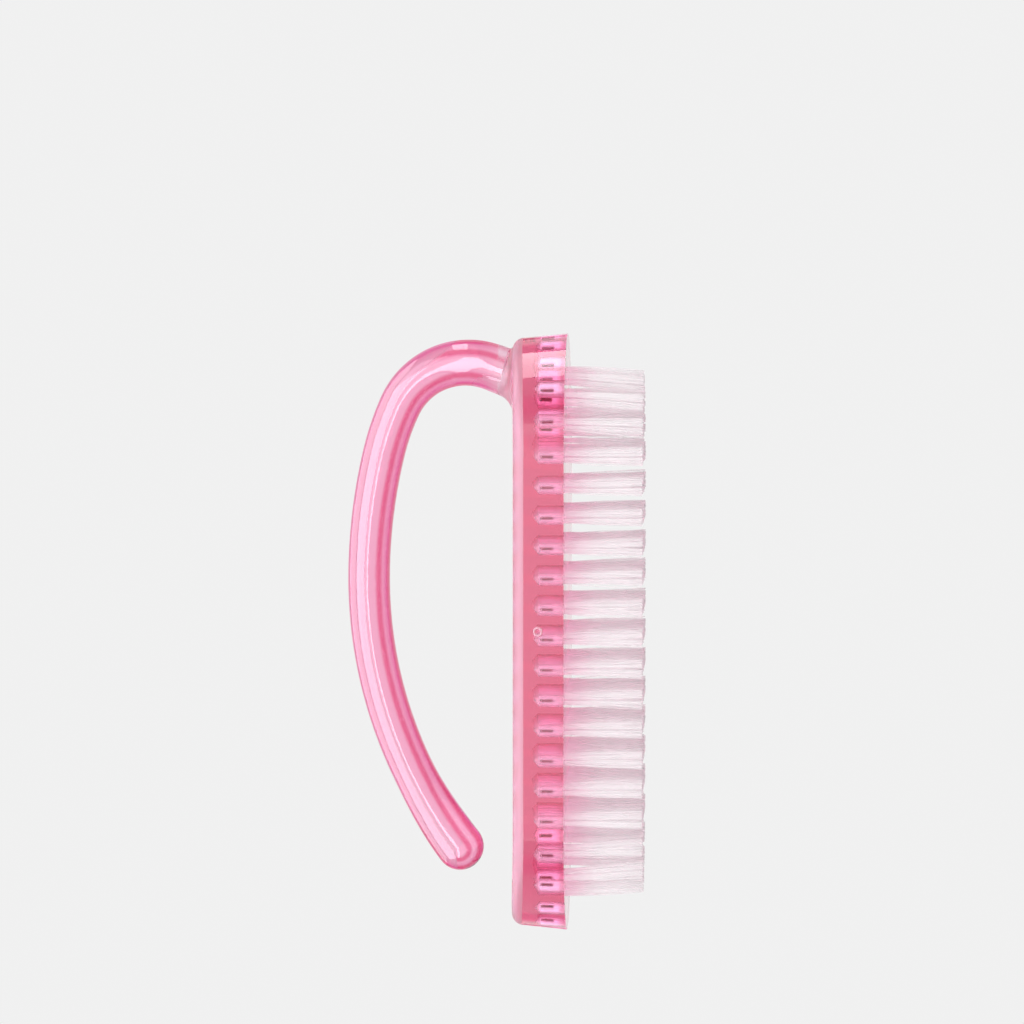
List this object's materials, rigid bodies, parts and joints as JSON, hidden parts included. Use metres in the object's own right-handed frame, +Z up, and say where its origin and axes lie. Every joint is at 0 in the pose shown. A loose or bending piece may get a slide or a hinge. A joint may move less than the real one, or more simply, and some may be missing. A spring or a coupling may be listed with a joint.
{
  "type": "nail brush",
  "caption": "Nail brush of clear pink plastic: a round-ended block with an open arched handle, set with nested ovals of white nylon tufts that flat wire anchors hold in blind holes.",
  "frame": {"origin": "on the plane of the bristle tips, below the middle of the block", "axes": "+Z up from the bristle tips through the block to the handle, +X along the block towards the end that carries the handle's root, +Y across the block"},
  "size_m": [0.1, 0.04, 0.0496],
  "materials": {
    "clear_pink_plastic": "gloss",
    "bristle_nylon": "satin",
    "anchor_wire": "satin"
  },
  "bodies": {
    "root": {"anchors_line_01": "anchor_wire", "anchors_line_02": "anchor_wire", "anchors_line_03": "anchor_wire", "anchors_line_04": "anchor_wire", "anchors_line_05": "anchor_wire", "anchors_line_06": "anchor_wire", "anchors_line_07": "anchor_wire", "anchors_line_08": "anchor_wire", "anchors_line_09": "anchor_wire", "anchors_line_10": "anchor_wire", "anchors_line_11": "anchor_wire", "anchors_line_12": "anchor_wire", "anchors_line_13": "anchor_wire", "anchors_root_end_inner": "anchor_wire", "anchors_root_end_middle": "anchor_wire", "anchors_root_end_outer": "anchor_wire", "anchors_tail_end_inner": "anchor_wire", "anchors_tail_end_middle": "anchor_wire", "anchors_tail_end_outer": "anchor_wire", "moulded_body": "clear_pink_plastic", "tufts_line_01": "bristle_nylon", "tufts_line_02": "bristle_nylon", "tufts_line_03": "bristle_nylon", "tufts_line_04": "bristle_nylon", "tufts_line_05": "bristle_nylon", "tufts_line_06": "bristle_nylon", "tufts_line_07": "bristle_nylon", "tufts_line_08": "bristle_nylon", "tufts_line_09": "bristle_nylon", "tufts_line_10": "bristle_nylon", "tufts_line_11": "bristle_nylon", "tufts_line_12": "bristle_nylon", "tufts_line_13": "bristle_nylon", "tufts_root_end_inner": "bristle_nylon", "tufts_root_end_middle": "bristle_nylon", "tufts_root_end_outer": "bristle_nylon", "tufts_tail_end_inner": "bristle_nylon", "tufts_tail_end_middle": "bristle_nylon", "tufts_tail_end_outer": "bristle_nylon"}
  },
  "joints": []
}
